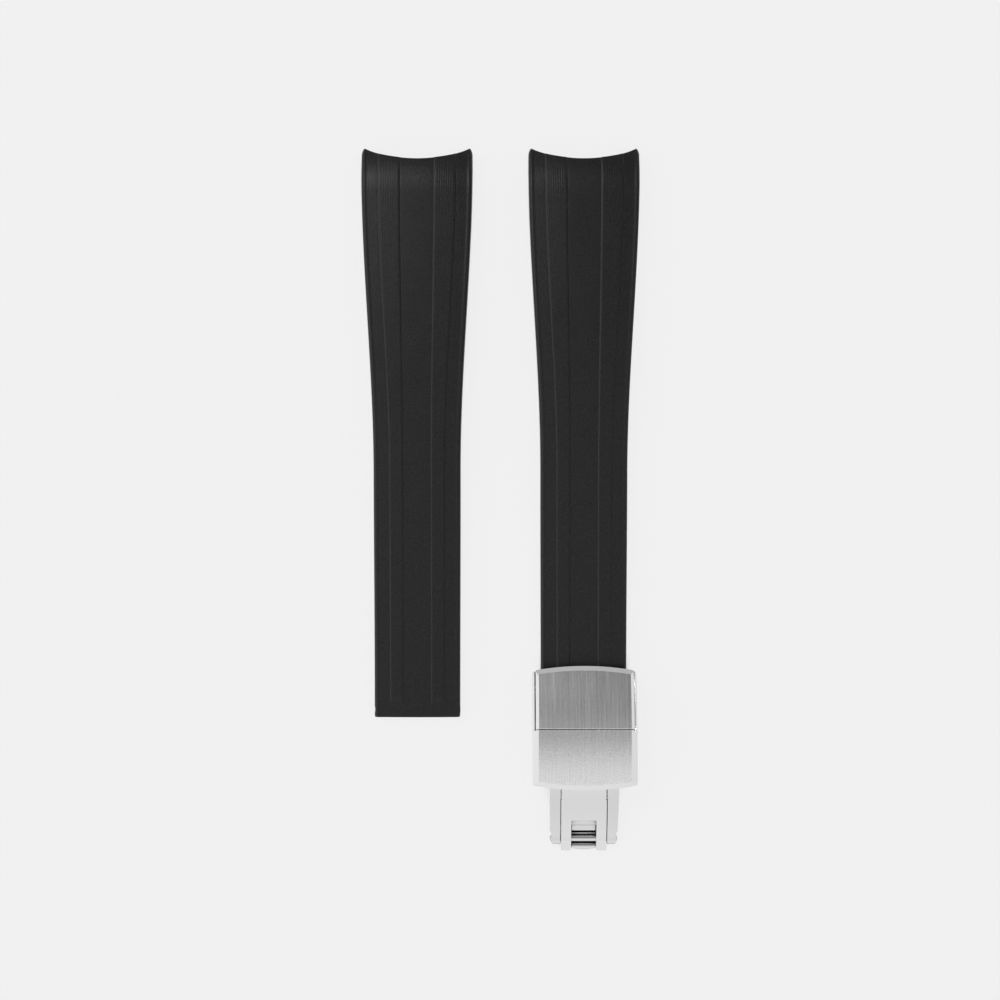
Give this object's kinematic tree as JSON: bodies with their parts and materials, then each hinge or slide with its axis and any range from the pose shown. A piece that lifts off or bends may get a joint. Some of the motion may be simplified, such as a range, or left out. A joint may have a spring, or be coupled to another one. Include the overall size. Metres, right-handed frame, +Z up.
{
  "type": "rubber watch strap",
  "caption": "Two-part rubber watch strap, laid flat, with a folding steel clasp whose leaves, cover and lock lever open, and sprung bars in the clasp.",
  "frame": {"origin": "on the table under the middle of the layout of the two halves", "axes": "+Y along both halves towards the watch ends, +Z up from the table, +X from the loose half to the clasp half"},
  "size_m": [0.05, 0.127, 0.0082],
  "materials": {
    "rubber": "matt, fine grained, near black",
    "leaf_steel": "polished stainless steel",
    "cover_steel": "brushed along the strap with polished bevels",
    "pin_steel": "polished stainless steel",
    "spring_steel": "drawn wire"
  },
  "bodies": {
    "lower_leaf_body": {"lower_leaf": "leaf_steel", "fold_pin": "pin_steel", "catch_stud_left": "pin_steel", "catch_stud_right": "pin_steel", "clasp_bar_tube": "pin_steel", "clasp_bar_spring": "spring_steel"},
    "loose_half_body": {"strap_half_loose": "rubber"},
    "clasp_half_body": {"strap_half_clasp": "rubber"},
    "upper_leaf_body": {"upper_leaf": "leaf_steel"},
    "cover_body": {"clasp_cover": "cover_steel", "cover_pin": "pin_steel", "lever_pin": "pin_steel", "cover_bar_tube": "pin_steel", "cover_bar_spring": "spring_steel"},
    "lever_body": {"lock_lever": "cover_steel"},
    "clasp_plunger_left_body": {"clasp_bar_plunger_left": "pin_steel"},
    "clasp_plunger_right_body": {"clasp_bar_plunger_right": "pin_steel"},
    "cover_plunger_left_body": {"cover_bar_plunger_left": "pin_steel"},
    "cover_plunger_right_body": {"cover_bar_plunger_right": "pin_steel"}
  },
  "joints": [
    {"name": "loose_half_lift", "type": "slide", "parent": "lower_leaf_body", "child": "loose_half_body", "axis": [0, 0, 1], "range_m": [0, 0.02]},
    {"name": "strap_pivot", "type": "hinge", "parent": "lower_leaf_body", "child": "clasp_half_body", "pos_m": [0.01505, -0.0347, 0.00125], "axis": [1, 0, 0], "range_deg": [-60, 6]},
    {"name": "leaf_fold", "type": "hinge", "parent": "lower_leaf_body", "child": "upper_leaf_body", "pos_m": [0.01505, -0.06135, 0.0014], "axis": [1, 0, 0], "range_deg": [0, 150]},
    {"name": "cover_fold", "type": "hinge", "parent": "upper_leaf_body", "child": "cover_body", "pos_m": [0.01505, -0.0426, 0.00446], "axis": [1, 0, 0], "range_deg": [-150, 0]},
    {"name": "lever_flip", "type": "hinge", "parent": "cover_body", "child": "lever_body", "pos_m": [0.01505, -0.0398, 0.00643], "axis": [1, 0, 0], "range_deg": [0, 75]},
    {"name": "clasp_plunger_left_slide", "type": "slide", "parent": "lower_leaf_body", "child": "clasp_plunger_left_body", "axis": [1, 0, 0], "range_m": [0, 0.0008], "stiffness_N_per_m": 400, "deforming": ["clasp_bar_spring"]},
    {"name": "clasp_plunger_right_slide", "type": "slide", "parent": "lower_leaf_body", "child": "clasp_plunger_right_body", "axis": [-1, 0, 0], "range_m": [0, 0.0008], "stiffness_N_per_m": 400, "deforming": ["clasp_bar_spring"]},
    {"name": "cover_plunger_left_slide", "type": "slide", "parent": "cover_body", "child": "cover_plunger_left_body", "axis": [1, 0, 0], "range_m": [0, 0.0008], "stiffness_N_per_m": 400, "deforming": ["cover_bar_spring"]},
    {"name": "cover_plunger_right_slide", "type": "slide", "parent": "cover_body", "child": "cover_plunger_right_body", "axis": [-1, 0, 0], "range_m": [0, 0.0008], "stiffness_N_per_m": 400, "deforming": ["cover_bar_spring"]}
  ],
  "couplings": [
    {"joint": "cover_fold", "follows": "leaf_fold", "ratio": -1}
  ]
}
